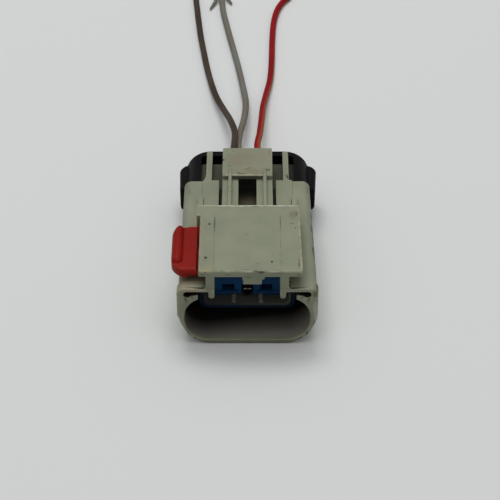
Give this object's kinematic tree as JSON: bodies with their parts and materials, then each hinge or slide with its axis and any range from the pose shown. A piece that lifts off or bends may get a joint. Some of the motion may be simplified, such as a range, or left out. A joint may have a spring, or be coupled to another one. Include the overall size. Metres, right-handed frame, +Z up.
{
  "type": "sealed cable connector with pigtail",
  "caption": "Sealed cable socket: grey shroud with a rocking lock lever, side-sliding position lock, blue terminal retainer, snapped rear cover and cut wire leads.",
  "frame": {"origin": "centre of the housing's flat underside, half way between the mating face and the rear shoulder", "axes": "+Y from the mating face to the wires, +Z up through the deck, +X to the right seen from the mating face"},
  "size_m": [0.0278, 0.124, 0.0176],
  "materials": {
    "grey_polymer": "satin, used",
    "red_polymer": "satin",
    "blue_polymer": "satin",
    "blue_silicone": "soft sheen",
    "dark_silicone": "soft sheen",
    "black_polymer": "satin",
    "tinned_alloy": "tin plated",
    "copper": "bare strands",
    "brown_insulation": "satin",
    "grey_insulation": "satin",
    "red_insulation": "satin"
  },
  "bodies": {
    "shell": {"housing": "grey_polymer", "ring_seal": "blue_silicone", "mat_seal": "dark_silicone", "rear_cover": "black_polymer", "terminal_1": "tinned_alloy", "terminal_2": "tinned_alloy", "terminal_3": "tinned_alloy", "strands_1": "copper", "strands_2": "copper", "strands_3": "copper", "wire_brown": "brown_insulation", "wire_grey": "grey_insulation", "wire_red": "red_insulation"},
    "lever": {"lock_lever": "grey_polymer"},
    "slide": {"position_lock": "red_polymer"},
    "retainer": {"terminal_retainer": "blue_polymer"}
  },
  "joints": [
    {"name": "lever_press", "type": "hinge", "parent": "shell", "child": "lever", "pos_m": [0, 0.002, 0.01372], "axis": [-1, 0, 0], "range_deg": [0, 4.5], "stiffness_Nm_per_rad": 0.5},
    {"name": "lock_push", "type": "slide", "parent": "shell", "child": "slide", "axis": [1, 0, 0], "range_m": [0, 0.0028]},
    {"name": "retainer_pull", "type": "slide", "parent": "shell", "child": "retainer", "axis": [0, -1, 0], "range_m": [0, 0.0016]}
  ]
}
